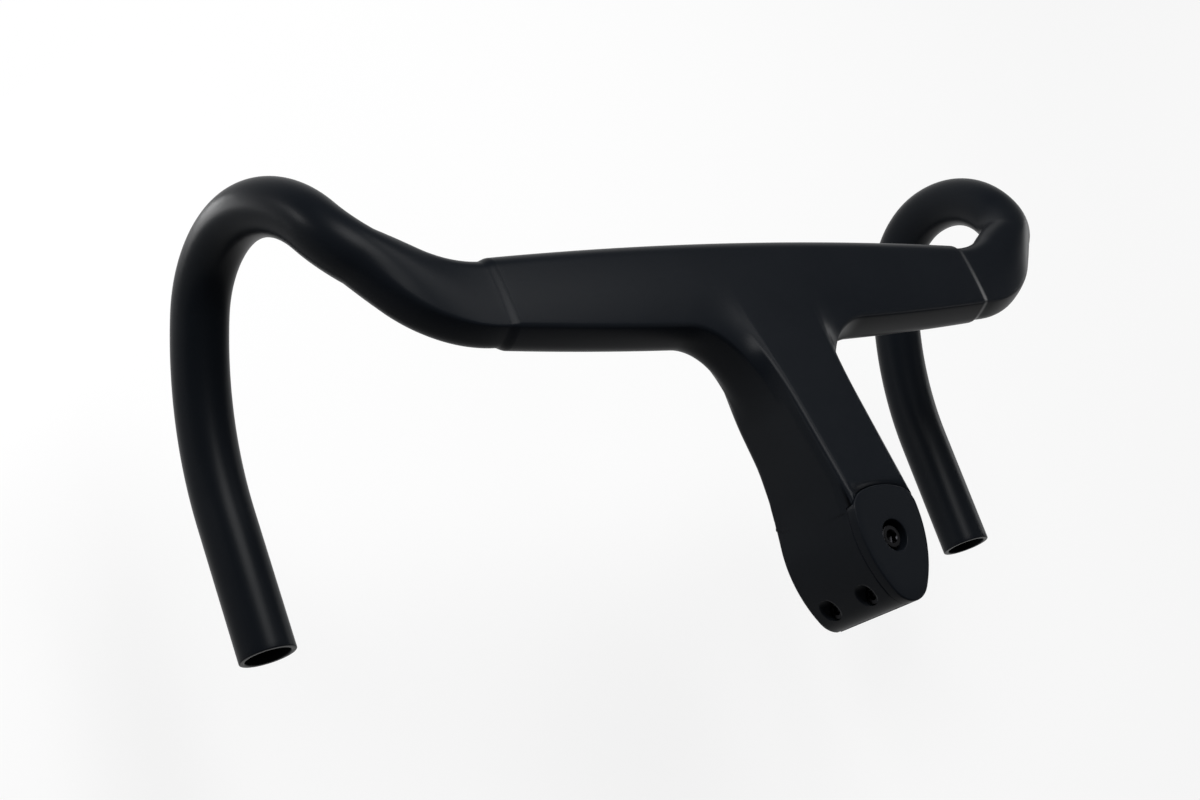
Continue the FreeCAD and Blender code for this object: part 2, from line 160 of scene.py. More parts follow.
class StudioSettings(bpy.types.PropertyGroup):
    """Floor, light and camera"""

    floor_drop: bpy.props.FloatProperty(
        name="Floor drop", description="Gap between the lowest point of the part and the floor",
        unit="LENGTH", min=0, max=1, default=0.12)
    key_power: bpy.props.FloatProperty(
        name="Key light", description="Power of the soft light over the left front",
        unit="POWER", min=0, max=500, default=10)
    edge_power: bpy.props.FloatProperty(
        name="Edge lights", description="Power that the small lights take their shares of",
        unit="POWER", min=0, max=500, default=2.2)
    lens: bpy.props.FloatProperty(
        name="Lens", description="Focal length of the camera", unit="CAMERA",
        min=10, max=200, default=66.0)


# Node trees

def add_node(tree, kind, values=None, links=None, **settings):
    """New node with its settings, socket values and incoming links."""
    node = tree.nodes.new(kind)
    for key, value in settings.items():
        setattr(node, key, value)
    for socket, value in (values or {}).items():
        node.inputs[socket].default_value = value
    for socket, source in (links or {}).items():
        tree.links.new(source, node.inputs[socket])
    return node


def new_group(name, inputs, outputs):
    """Shader node group with float, colour or vector sockets; returns the tree and its two ends."""
    kinds = {"float": "NodeSocketFloat", "colour": "NodeSocketColor", "vector": "NodeSocketVector"}
    tree = bpy.data.node_groups.new(name, "ShaderNodeTree")
    for direction, sockets in (("INPUT", inputs), ("OUTPUT", outputs)):
        for label, kind in sockets.items():
            tree.interface.new_socket(name=label, in_out=direction, socket_type=kinds[kind])
    return tree, tree.nodes.new("NodeGroupInput"), tree.nodes.new("NodeGroupOutput")


def paint_grain():
    """Satin paint: a fine orange peel, slow drifts of gloss and a faint mottle of tone."""
    name = "Paint grain"
    if name in bpy.data.node_groups:
        return bpy.data.node_groups[name]
    tree, start, end = new_group(
        name,
        {"Colour": "colour", "Roughness": "float", "Grain": "float", "Depth": "float"},
        {"Colour": "colour", "Roughness": "float", "Normal": "vector"})
    place = add_node(tree, "ShaderNodeTexCoord").outputs["Object"]
    per_metre = add_node(
        tree, "ShaderNodeMath", {0: 1.0}, {1: start.outputs["Grain"]}, operation="DIVIDE").outputs[0]
    peel = add_node(
        tree, "ShaderNodeTexNoise", {"Detail": 3.0, "Roughness": 0.6},
        {"Vector": place, "Scale": per_metre}).outputs["Fac"]
    drift = add_node(
        tree, "ShaderNodeTexNoise", {"Scale": 38.0, "Detail": 4.0, "Roughness": 0.55},
        {"Vector": place}).outputs["Fac"]
    gloss = add_node(
        tree, "ShaderNodeMapRange", {"To Min": -0.035, "To Max": 0.035}, {"Value": drift}).outputs[0]
    speck = add_node(
        tree, "ShaderNodeMapRange", {"To Min": -0.02, "To Max": 0.02}, {"Value": peel}).outputs[0]
    both = add_node(tree, "ShaderNodeMath", links={0: gloss, 1: speck}).outputs[0]
    rough = add_node(tree, "ShaderNodeMath", links={0: start.outputs["Roughness"], 1: both}).outputs[0]
    tone = add_node(
        tree, "ShaderNodeMapRange", {"To Min": 0.9, "To Max": 1.1}, {"Value": drift}).outputs[0]
    colour = add_node(
        tree, "ShaderNodeVectorMath", links={0: start.outputs["Colour"], 1: tone},
        operation="MULTIPLY").outputs[0]
    bump = add_node(
        tree, "ShaderNodeBump", {"Strength": 1.0},
        {"Height": peel, "Distance": start.outputs["Depth"]}).outputs[0]
    for label, source in (("Colour", colour), ("Roughness", rough), ("Normal", bump)):
        tree.links.new(source, end.inputs[label])
    return tree


def machined_metal():
    """Machined metal: fine tool marks with a light mottle."""
    name = "Machined metal"
    if name in bpy.data.node_groups:
        return bpy.data.node_groups[name]
    tree, start, end = new_group(
        name,
        {"Colour": "colour", "Roughness": "float", "Pitch": "float", "Depth": "float"},
        {"Colour": "colour", "Roughness": "float", "Normal": "vector"})
    place = add_node(tree, "ShaderNodeTexCoord").outputs["Object"]
    per_metre = add_node(
        tree, "ShaderNodeMath", {0: 1.0}, {1: start.outputs["Pitch"]}, operation="DIVIDE").outputs[0]
    marks = add_node(
        tree, "ShaderNodeTexNoise", {"Detail": 2.0},
        {"Vector": place, "Scale": per_metre}).outputs["Fac"]
    mottle = add_node(
        tree, "ShaderNodeTexNoise", {"Scale": 700.0, "Detail": 3.0}, {"Vector": place}).outputs["Fac"]
    shift = add_node(
        tree, "ShaderNodeMapRange", {"To Min": -0.08, "To Max": 0.08}, {"Value": mottle}).outputs[0]
    rough = add_node(tree, "ShaderNodeMath", links={0: start.outputs["Roughness"], 1: shift}).outputs[0]
    tone = add_node(
        tree, "ShaderNodeMapRange", {"To Min": 0.75, "To Max": 1.25}, {"Value": mottle}).outputs[0]
    colour = add_node(
        tree, "ShaderNodeVectorMath", links={0: start.outputs["Colour"], 1: tone},
        operation="MULTIPLY").outputs[0]
    bump = add_node(
        tree, "ShaderNodeBump", {"Strength": 1.0},
        {"Height": marks, "Distance": start.outputs["Depth"]}).outputs[0]
    for label, source in (("Colour", colour), ("Roughness", rough), ("Normal", bump)):
        tree.links.new(source, end.inputs[label])
    return tree


def surface(name, group, values, **shader):
    """Material whose Principled BSDF takes colour, roughness and normal from a node group."""
    material = bpy.data.materials.new(name)
    material.use_nodes = True
    tree = material.node_tree
    effect = add_node(tree, "ShaderNodeGroup", node_tree=group)
    for socket, value in values.items():
        effect.inputs[socket].default_value = value
    principled = tree.nodes["Principled BSDF"]
    for socket, value in shader.items():
        principled.inputs[socket.replace("_", " ")].default_value = value
    for ours, theirs in (("Colour", "Base Color"), ("Roughness", "Roughness"), ("Normal", "Normal")):
        tree.links.new(effect.outputs[ours], principled.inputs[theirs])
    return material


def satin(name, finish):
    """Satin paint of the moulding and the cap."""
    values = {
        "Colour": finish.skin_colour, "Roughness": finish.skin_roughness, "Grain": finish.grain,
        "Depth": PEEL_DEPTH * MM}
    return surface(name, paint_grain(), values, Specular_IOR_Level=finish.skin_gloss)


def metal(name, colour, roughness):
    """Blackened or anodised metal of the screws and barrels."""
    values = {"Colour": colour, "Roughness": roughness, "Pitch": MARK_PITCH * MM, "Depth": MARK_DEPTH * MM}
    return surface(name, machined_metal(), values, Metallic=1.0)


# Outlines and lines of the moulding, in millimetres

X, Y, Z = Vector((1, 0, 0)), Vector((0, 1, 0)), Vector((0, 0, 1))


def heading(vector):
    return atan2(vector.y, vector.x)


def smooth(share):
    """A share from 0 to 1 that starts and ends gently."""
    share = min(max(share, 0), 1)
    return share * share * (3 - 2 * share)


def crowned(corners, crowns):
    """Arcs of a closed outline, each round corner and the crown to the next, counter-clockwise:
    centre, radius, start angle and turn. A corner is its centre and radius."""
    joins = []
    for (centre, radius), (other, other_r), crown in zip(corners, corners[1:] + corners[:1], crowns):
        gap = (other - centre).length
        along = (other - centre) / gap
        near, far = crown - radius, crown - other_r
        foot = (near ** 2 - far ** 2 + gap ** 2) / (2 * gap)
        middle = centre + along * foot + Vector((-along.y, along.x)) * sqrt(near ** 2 - foot ** 2)
        joins.append((middle, crown, heading(centre - middle), heading(other - middle)))
    arcs = []
    for i, (centre, radius) in enumerate(corners):
        for middle, r, start, end in ((centre, radius, joins[i - 1][3], joins[i][2]), joins[i]):
            arcs.append((middle, r, start, (end - start) % (2 * pi)))
    return arcs


def on_outline(arcs, at):
    """Point of an outline, by the number of an arc plus the share along it."""
    at %= len(arcs)
    centre, radius, start, turn = arcs[int(at)]
    angle = start + turn * (at % 1)
    return centre + Vector((cos(angle), sin(angle))) * radius


def to_outline(arcs, point):
    """Point of an outline nearest to another point."""
    spots = []
    for centre, radius, start, turn in arcs:
        angle = (heading(point - centre) - start) % (2 * pi)
        if angle > turn:
            angle = turn if angle < turn / 2 + pi else 0
        spots.append(centre + Vector((cos(start + angle), sin(start + angle))) * radius)
    return min(spots, key=lambda spot: (spot - point).length)


def between(first, last, share):
    """Sizes of a section part of the way between two; the crowns, at the end, go by curvature."""
    lengths = [a + (b - a) * share for a, b in zip(first[:-3], last[:-3])]
    return lengths + [1 / (1 / a + (1 / b - 1 / a) * share) for a, b in zip(first[-3:], last[-3:])]


def wing_arcs(sizes):
    """Crease, tuck and nose of a wing section with its crowns; the chord's middle is the origin."""
    chord, depth, nose_r, rise, crease_r, setback, tuck_r, *crowns = sizes
    return crowned([
        (Vector((setback - chord / 2, (rise + depth) / 2 - crease_r)), crease_r),
        (Vector((tuck_r - chord / 2, (rise - depth) / 2 + tuck_r)), tuck_r),
        (Vector((chord / 2 - nose_r, -rise / 2)), nose_r),
    ], crowns)


def tops_point(x, at):
    """Point of the wing tops at a distance from the middle plane."""
    share = (x / BARE_HALF) ** 2
    point = on_outline(wing_arcs(between(WING_MIDDLE, WING_END, share)), at)
    return Vector((x, STEM_REACH + TOPS_SWEEP * share + point.x, TOPS_HEIGHT + point.y))


def drop_line(start_x, pitch):
    """Places along the right drop, about a pitch apart: distance, point, direction and nose."""
    point, along, nose, inward = Vector((start_x, STEM_REACH + TOPS_SWEEP, TOPS_HEIGHT)), X, Y, Y
    distance = 0.0
    places = [(distance, point, along, nose)]
    for run, radius, angle, roll in (RAMP_BEND, *TUBE_BENDS):
        steps = ceil(run / pitch)
        for _ in range(steps):
            point, distance = point + along * (run / steps), distance + run / steps
            places.append((distance, point, along, nose))
        inward = Quaternion(along, radians(roll)) @ inward
        length = radians(angle) * radius
        steps = ceil(length / pitch)
        turn = Quaternion(along.cross(inward), radians(angle) / steps)
        for _ in range(steps):
            centre = point + inward * radius
            point = centre + turn @ (point - centre)
            along, nose, inward = (turn @ vector for vector in (along, nose, inward))
            distance += length / steps
            places.append((distance, point, along, nose))
    return places


def rounded(before, corner, after, radius, steps=12):
    """Points of the arc that rounds a corner."""
    back, on = (before - corner).normalized(), (after - corner).normalized()
    half = back.angle(on) / 2
    centre = corner + (back + on).normalized() * (radius / sin(half))
    start = corner + back * (radius / tan(half)) - centre
    end = corner + on * (radius / tan(half)) - centre
    turn = (heading(end) - heading(start) + pi) % (2 * pi) - pi
    angles = [heading(start) + turn * i / steps for i in range(steps + 1)]
    return [centre + Vector((cos(angle), sin(angle))) * radius for angle in angles]


def stem_lines(y, heel=1.0):
    """Right half of the stem's section across Y: from the middle of its top to the ridge, down the
    side, and under to the middle. The heel squares off the lower corner towards the clamp."""
    heel *= smooth((HEEL_START - y) / (HEEL_START - HEEL_END))
    arcs = wing_arcs(WING_MIDDLE)
    centre, radius = arcs[5][:2]
    front = TOPS_HEIGHT + centre.y + sqrt(radius ** 2 - centre.x ** 2)
    rear = CLAMP_HEIGHT + CAP_THICKNESS - CAP_STAND
    top = rear + (front - rear) * (y - CLAMP_FRONT) / (STEM_REACH - CLAMP_FRONT)
    low = STEM_UNDER_REAR - tan(STEM_UNDER_ANGLE) * (y - CLAMP_FRONT)
    low -= heel * max(low - HEEL_HEIGHT, 0)
    draft = STEM_DRAFT + (HEEL_DRAFT - STEM_DRAFT) * heel
    along = (y - STEM_START) / (STEM_REACH - STEM_START)
    half = STEM_HALF_REAR + (STEM_HALF_FRONT - STEM_HALF_REAR) * along
    middle, foot = Vector((0, top)), Vector((0, low))
    ridge, shoulder = Vector((half, top)), Vector((half + STEM_SHOULDER, top - STEM_SHOULDER_DROP))
    corner = Vector((half - draft, low))
    edge = rounded(middle, ridge, shoulder, STEM_RIDGE_R)
    bulge = rounded(ridge, shoulder, corner, STEM_SHOULDER_R)
    turn = rounded(shoulder, corner, foot, STEM_UNDER_R + (HEEL_R - STEM_UNDER_R) * heel)
    return [middle, *edge[:7]], [*edge[6:], *bulge, *turn[:7]], [*turn[6:], foot]


def along_line(points, share):
    """Point at a share of a line's length."""
    lengths = [(b - a).length for a, b in zip(points, points[1:])]
    left = sum(lengths) * share
    for a, b, length in zip(points, points[1:], lengths):
        if left <= length:
            return a.lerp(b, left / length)
        left -= length
    return points[-1]


def nearest(line, point):
    """Gap from a point to a line, and the share of the line's length at its nearest place."""
    passed, places = 0.0, []
    for a, b in zip(line, line[1:]):
        step = b - a
        part = min(max((point - a).dot(step) / step.length_squared, 0), 1)
        places.append(((a + step * part - point).length, passed + step.length * part))
        passed += step.length
    gap, far = min(places)
    return gap, far / passed


class Skin:
    """Points and faces gathered for one mesh, in millimetres."""

    def __init__(self):
        self.points, self.faces = [], []

    def line(self, points):
        first = len(self.points)
        self.points += points
        return list(range(first, len(self.points)))

    def band(self, one, other, closed=True):
        """Faces between two lines of equal count."""
        pairs = list(zip(one, other))
        if closed:
            pairs.append(pairs[0])
        self.faces += [(a, b, d, c) for (a, c), (b, d) in zip(pairs, pairs[1:])]

    def tube(self, rings):
        """Faces along a row of rings; returns the first and the last."""
        lines = [self.line(ring) for ring in rings]
        for one, other in zip(lines, lines[1:]):
            self.band(one, other)
        return lines[0], lines[-1]

    def close(self, ring, point):
        """Fan from a ring to a point."""
        tip = self.line([point])[0]
        self.faces += [(a, b, tip) for a, b in zip(ring, ring[1:] + ring[:1])]


def spans(*rows):
    """Rows of (start, end, steps) in turn as one list of values, without the last end."""
    return [start + (end - start) * i / steps for start, end, steps in rows for i in range(steps)]


# Rows round the tops, from the middle of the upper side over the crease and under to the middle of
# the lower side, with where each row comes from down the stem's side; then on round the nose
REAR_ROWS = spans((-0.6, -0.42, 7), (-0.42, 0, 8), (0, 1, 8), (1, 2, 8), (2, 3, 10), (3, 3.5, 8))
SIDE_SHARES = spans(
    (0, 0.055, 5), (0.055, 0.09, 2), (0.09, 0.22, 8), (0.22, 0.32, 8), (0.32, 0.62, 8), (0.62, 0.9, 10),
    (0.9, 1, 8))
FRONT_ROWS = spans((3.5, 4, 8), (4, 5, 18), (5, 5.4, 8))
ROWS = REAR_ROWS + FRONT_ROWS
TURN = len(REAR_ROWS)                           # the row in the middle of the lower side
COLUMNS = spans((0, 0.06, 5), (0.06, 0.94, 12), (0.94, 1, 5)) + [1.0]     # across the stem's top
STEM_WIDTH = 22.0                               # half width over which the stem's top meets the tops
# share of the flare left at the stem's lower corners, and the rows over which it falls to that
LOW_SHARE, LOW_ROWS = 0.55, 14
# rows over which the flare's edge and its lines turn outwards
EDGE_RISE, LINE_RISE = 17, 18
# how full the flare's lines are, and the shares of their length where the straight slope comes and goes
FLARE_FULLNESS, FAN_START, FAN_END = 1.1, 0.35, 0.25
FAN = range(2, 17)                              # rows of the straight slope from the ridge to the crease


def stem_ring(y):
    """Stem's section across Y, one point for each point of the tops' open edge."""
    top, side, low = stem_lines(y)

    def across(line, column):
        point = along_line(line, abs(2 * column - 1))
        return point if column > 0.5 else Vector((-point.x, point.y))

    right = [along_line(side, share) for share in SIDE_SHARES[1:]]
    ring = [across(top, column) for column in COLUMNS] + right
    ring += [across(low[::-1], column) for column in reversed(COLUMNS)]
    ring += [Vector((-point.x, point.y)) for point in reversed(right)]
    return [Vector((point.x, y, point.y)) for point in ring]


def swell(row, rise):
    """Share that rises at once from 0 at the ridge to 1, falls to less at the stem's lower corner and
    to 0 again on the way round the nose."""
    low = LOW_SHARE + (1 - LOW_SHARE) * smooth((TURN - row) / LOW_ROWS)
    return sin(pi / 2 * min(row / rise, 1)) * low * smooth((len(ROWS) - row) / (len(ROWS) - TURN))


def tops_edge(reach):
    """Right half of the edge where the tops open into the stem's flare, as the distance of each row."""
    return [STEM_WIDTH + reach * swell(row, EDGE_RISE) for row in range(len(ROWS))]


def tops_rings(reach, count=44):
    """Rings of the right half of the tops, from the flare's edge to the tape step."""
    edge = tops_edge(reach)
    return [
        [tops_point(x + (BARE_HALF - x) * i / count, at) for x, at in zip(edge, ROWS)]
        for i in range(count + 1)
    ]


def set_across(point, along, nose, outline):
    """Ring of an outline set across a direction, with its nose turned to another."""
    side = along.cross(nose)
    return [point + nose * p.x + side * p.y for p in (on_outline(outline, at) for at in ROWS)]


def drop_rings(depth, width, edge):
    """Rings of the right drop: down the tape step, along the ramp to the round, round the bends, over
    the open end and into its bore."""
    taped = [size - depth * sides for size, sides in zip(WING_END, STEP_SIDES)]
    step_rings, grip_rings, bore_rings, nearly_round = 12, 24, 12, 0.9999
    rings = []
    for i in range(1, step_rings):
        share = i / step_rings
        point = Vector((BARE_HALF + width * share, STEM_REACH + TOPS_SWEEP, TOPS_HEIGHT))
        sizes = between(WING_END, taped, smooth(share))
        rings.append(set_across(point, X, Y, wing_arcs(sizes)))
    ramp = radians(RAMP_BEND[2]) * RAMP_BEND[1] + TUBE_BENDS[0][0]
    turns = [arc[2:] for arc in wing_arcs(between(taped, ROUND, nearly_round))]

    def circle(radius):
        return [(Vector((0, 0)), radius, *turn) for turn in turns]

    for distance, *place in drop_line(BARE_HALF + width, pitch=2.0):
        share = (distance / ramp) ** 2
        on_ramp = share < nearly_round
        outline = wing_arcs(between(taped, ROUND, share)) if on_ramp else circle(TUBE_D / 2)
        rings.append(set_across(*place, outline))
    point, along, nose = place
    outer, inner, rest = TUBE_D / 2, TUBE_D / 2 - WALL, GRIP_LENGTH - edge
    profile = [(outer, GRIP_LENGTH * i / grip_rings) for i in range(1, grip_rings)]
    for centre, start in ((outer - edge, 0), (inner + edge, pi / 2)):
        angles = [start + i * pi / 8 for i in range(5)]
        profile += [(centre + edge * cos(angle), rest + edge * sin(angle)) for angle in angles]
    profile += [(inner, GRIP_LENGTH * i / bore_rings) for i in reversed(range(bore_rings))]
    for radius, reach in profile:
        rings.append(set_across(point + along * reach, along, nose, circle(radius)))
    return rings, point


def mirrored(ring):
    return [Vector((-point.x, point.y, point.z)) for point in ring]


def away(x, at, outwards):
    """Direction on the skin of the tops, forwards at 0 and outwards at 1."""
    x_step, row_step = 0.5, 0.02
    out = tops_point(abs(x) + x_step, at) - tops_point(abs(x) - x_step, at)
    forwards = tops_point(abs(x), at + row_step) - tops_point(abs(x), at - row_step)
    if forwards.y < 0:
        forwards.negate()
    way = forwards.normalized().lerp(out.normalized(), outwards).normalized()
    return way if x > 0 else Vector((-way.x, way.y, way.z))


def flare(skin, edge, start, steps=32):
    """Lines that carry the stem's section on into the tops' open edge, smooth at both ends. The edge
    lists each point, its row and how far its lines run outwards."""
    curves = []
    for here, on, (point, at, outwards) in zip(stem_ring(start), stem_ring(start + 1), edge):
        length = FLARE_FULLNESS * (point - here).length
        leave, arrive = (on - here).normalized(), away(point.x, at, outwards)
        curves.append((here, leave * length, point, arrive * length))
    fans = [[len(COLUMNS) - 1 + row for row in FAN], [len(curves) - row for row in FAN]]
    lines = []
    for i in range(1, steps):
        u = i / steps
        line = [
            a * (2 * u ** 3 - 3 * u ** 2 + 1) + da * (u ** 3 - 2 * u ** 2 + u)
            + b * (3 * u ** 2 - 2 * u ** 3) + db * (u ** 3 - u ** 2)
            for a, da, b, db in curves]
        hold = smooth(u / FAN_START) * smooth((1 - u) / FAN_END)
        for fan in fans:
            first, last = line[fan[0]], line[fan[-1]]
            for k, place in enumerate(fan):
                line[place] = line[place].lerp(first.lerp(last, k / (len(fan) - 1)), hold)
        lines.append(skin.line(line))
    return lines


def moulding_skin(shape):
    """Tops, drops, flare and stem as one skin, open where the stem meets the clamp."""
    settings = shape.step_depth, shape.step_width, shape.flare_start, shape.flare_reach, shape.edge_round
    depth, width, start, reach, edge = (setting / MM for setting in settings)
    skin = Skin()
    tops = tops_rings(reach)
    drop, bore_end = drop_rings(depth, width, edge)
    ends = []
    for side in (tops + drop, [mirrored(ring) for ring in tops + drop]):
        first, last = skin.tube(side)
        tip = bore_end if not ends else mirrored([bore_end])[0]
        skin.close(last, tip)
        ends.append(first)
    right, left = ends
    front = [*range(TURN, len(ROWS)), 0]
    columns = [[left[i] for i in front]]
    widths = tops_edge(reach)
    for column in COLUMNS[1:-1]:
        columns.append(skin.line([tops_point(widths[i] * (2 * column - 1), ROWS[i]) for i in front]))
    columns.append([right[i] for i in front])
    for one, other in zip(columns, columns[1:]):
        skin.band(one, other, closed=False)
    ring = [column[-1] for column in columns] + right[1:TURN]
    ring += [column[0] for column in reversed(columns)] + left[TURN - 1:0:-1]
    side = [(ROWS[row], swell(row, LINE_RISE)) for row in range(1, TURN)]
    under = [(ROWS[TURN], LOW_SHARE * abs(2 * column - 1)) for column in COLUMNS]
    rows = [(ROWS[0], 0)] * len(columns) + side + under + side[::-1]
    lines = [ring]
    lines += reversed(flare(skin, [(skin.points[i], *row) for i, row in zip(ring, rows)], start))
    count = 16
    for i in range(count + 1):
        lines.append(skin.line(stem_ring(start + (STEM_CUT - start) * i / count)))
    for one, other in zip(lines, lines[1:]):
        skin.band(one, other)
    return skin


def egg_arcs(inset=0.0):
    """Outline of the clamp and its cap, from the rear round the right flank."""
    corner_y = CLAMP_FRONT - EGG_FRONT_R + sqrt((EGG_FRONT_R - EGG_CORNER_R) ** 2 - EGG_CORNER_OUT ** 2)
    corners = [
        (Vector((0, EGG_REAR_R - CLAMP_REAR)), EGG_REAR_R - inset),
        (Vector((EGG_CORNER_OUT, corner_y)), EGG_CORNER_R - inset),
        (Vector((-EGG_CORNER_OUT, corner_y)), EGG_CORNER_R - inset)]
    return crowned(corners, [radius - inset for radius in (EGG_FLANK_R, EGG_FRONT_R, EGG_FLANK_R)])


def split_long(clamp, chosen, rounds=6):
    """Divides the long edges whose middles are chosen."""
    for _ in range(rounds):
        long = [
            edge for edge in clamp.edges
            if edge.calc_length() > MESH_STEP * MM and chosen((edge.verts[0].co + edge.verts[1].co) / 2)]
        bmesh.ops.subdivide_edges(clamp, edges=long, cuts=1, use_grid_fill=True)


def round_walls(clamp, last):
    """Puts the clamp's outer wall behind a place on its true outline, in place of the solid's facets."""
    arcs = egg_arcs()

    def on_wall(point):
        flat = point.xy / MM
        return point.y < last * MM and (to_outline(arcs, flat) - flat).length < ON_SKIN

    split_long(clamp, on_wall)
    for point in [vert.co for vert in clamp.verts if on_wall(vert.co)]:
        point.xy = to_outline(arcs, point.xy / MM) * MM


def square_heel(clamp, first):
    """Carries the stem's squared lower corner on to the clamp, from a place in front of its bore."""
    top, fade_up, fade_on = 14.0, 6.0, 2.0
    for point in [vert.co for vert in clamp.verts if vert.co.y > first * MM and vert.co.z < top * MM]:
        y, flat = point.y / MM, Vector((abs(point.x), point.z)) / MM
        near = []
        for true, squared in zip(stem_lines(y, heel=0)[1:], stem_lines(y)[1:]):
            gap, share = nearest(true, flat)
            near.append((gap, along_line(squared, share)))
        gap, spot = min(near, key=lambda pair: pair[0])
        if gap < ON_SKIN:
            flat = flat.lerp(spot, smooth((top - flat.y) / fade_up) * smooth((y - first) / fade_on))
            point.x, point.z = flat.x * MM if point.x > 0 else -flat.x * MM, flat.y * MM


def soften_join(clamp):
    """Fairs the stem's sides into the clamp's flanks, which meet in a sharp line in the solid."""
    first, last, inner, top, fade = 4.0, STEM_CUT, 12.0, CLAMP_HEIGHT - 0.1, 2.5
    heel_first = 14.0
    round_walls(clamp, first)
    arcs = egg_arcs()
    centre, radius = arcs[1][:2]
    flank = centre.x + sqrt(radius ** 2 - (first - centre.y) ** 2)
    side = stem_lines(last)[1]

    def beside(point):
        x, y, z = abs(point.x) / MM, point.y / MM, point.z / MM
        if x < inner or not first < y < last or z > top:
            return False
        plan = Vector((x, y))
        return (
            (to_outline(arcs, plan) - plan).length < ON_SKIN
            or nearest(stem_lines(y, heel=0)[1], Vector((x, z)))[0] < ON_SKIN)

    split_long(clamp, beside)
    outer = [vert.co for vert in clamp.verts if beside(vert.co)]
    square_heel(clamp, heel_first)
    for point in outer:
        x, z = abs(point.x) / MM, point.z / MM
        level = max(z, side[-1].y)
        a, b = next(pair for pair in zip(side, side[1:]) if pair[1].y <= level)
        stem = a.lerp(b, (a.y - level) / (a.y - b.y)).x
        fair = flank + (stem - flank) * smooth((point.y / MM - first) / (last - first))
        x += (fair - x) * smooth((top - z) / fade) * smooth((x - inner) / fade)
        point.x = x * MM if point.x > 0 else -x * MM


def add_clamp(mesh):
    """Joins the clamp, cut from the solid's own mesh in front of the steerer, to the stem's open end."""
    clamp_half, cut_gap = 60.0, 0.5
    clamp = bmesh.new()
    node = NODES["bar_stem_body"]
    clamp.from_mesh(node.data)
    clamp.transform(node.matrix_world)
    bmesh.ops.remove_doubles(clamp, verts=clamp.verts, dist=SAME_POINT * MM)
    cut = (STEM_CUT - cut_gap) * MM
    bmesh.ops.bisect_plane(
        clamp, geom=[*clamp.verts, *clamp.edges, *clamp.faces], plane_co=(0, cut, 0), plane_no=(0, 1, 0),
        clear_outer=True)
    far = [vert for vert in clamp.verts if abs(vert.co.x) > clamp_half * MM]
    bmesh.ops.delete(clamp, geom=far, context="VERTS")
    soften_join(clamp)
    piece = bpy.data.meshes.new("clamp")
    clamp.to_mesh(piece)
    clamp.free()
    mesh.from_mesh(piece)
    bpy.data.meshes.remove(piece)
    open_edges = [edge for edge in mesh.edges if edge.is_boundary]
    bmesh.ops.bridge_loops(mesh, edges=open_edges)


# Cap, screws and barrels, in millimetres

def quarter(radius, steps=6):
    """Steps over a rounded edge: how far in and how far up."""
    angles = [i * pi / 2 / steps for i in range(steps + 1)]
    return [(radius * (1 - cos(angle)), radius * sin(angle)) for angle in angles]


def cap_skin(edge):
    """Cap: round its rim, over the top into the screw's recess, and down the spigot back to the rim."""
    per_arc = 20
    places = [i / per_arc for i in range(per_arc * len(egg_arcs()))]
    outer = [on_outline(egg_arcs(), at) for at in places]
    top = CLAMP_HEIGHT + CAP_THICKNESS

    def egg(inset, z):
        return [Vector((*on_outline(egg_arcs(inset), at), z)) for at in places]

    def circle(radius, z):
        return [Vector((*(point.normalized() * radius), z)) for point in outer]

    rings = [egg(edge / 3, CLAMP_HEIGHT), egg(0, CLAMP_HEIGHT + edge / 3)]
    rings += [egg(into, top - CAP_RIM + up) for into, up in quarter(CAP_RIM)]
    rim, recess = rings[-1], circle(CAP_RECESS_R + edge, top)
    rings += [[a.lerp(b, share) for a, b in zip(rim, recess)] for share in (0.3, 0.6, 0.85)]
    rings += [circle(CAP_RECESS_R + into, top - edge + up) for into, up in reversed(quarter(edge))]
    rings += [circle(CAP_RECESS_R, CAP_SEAT), circle(CAP_HOLE_R, CAP_SEAT), circle(CAP_HOLE_R, SPIGOT_END)]
    rings += [circle(SPIGOT_R - edge, SPIGOT_END), circle(SPIGOT_R, SPIGOT_END + edge)]
    rings.append(circle(SPIGOT_R, CLAMP_HEIGHT))
    skin = Skin()
    first, last = skin.tube(rings)
    skin.band(last, first)
    return skin


def even(radius):
    return lambda angle: radius


def hexagon(flats):
    return lambda angle: flats / 2 / cos((angle + pi / 6) % (pi / 3) - pi / 6)


def knurl(radius, depth, teeth=30):
    return lambda angle: radius - depth * (1 - cos(teeth * angle)) / 2


def thread(radius, depth, turns):
    return lambda angle: radius - depth * abs(2 * ((turns - angle / (2 * pi)) % 1) - 1)


def turned(skin, seat, axis, profile, tips=None, count=120):
    """Body round an axis: rings of a radius by angle and a distance from the seat, then the distances
    of the points that close its ends, or none for a body with a bore."""
    across = axis.orthogonal().normalized()
    side = axis.cross(across)
    angles = [i * 2 * pi / count for i in range(count)]
    first, last = skin.tube([
        [seat + axis * far + (across * cos(angle) + side * sin(angle)) * radius(angle) for angle in angles]
        for radius, far in profile])
    if tips:
        skin.close(first, seat + axis * tips[0])
        skin.close(last, seat + axis * tips[1])
    else:
        skin.band(last, first)


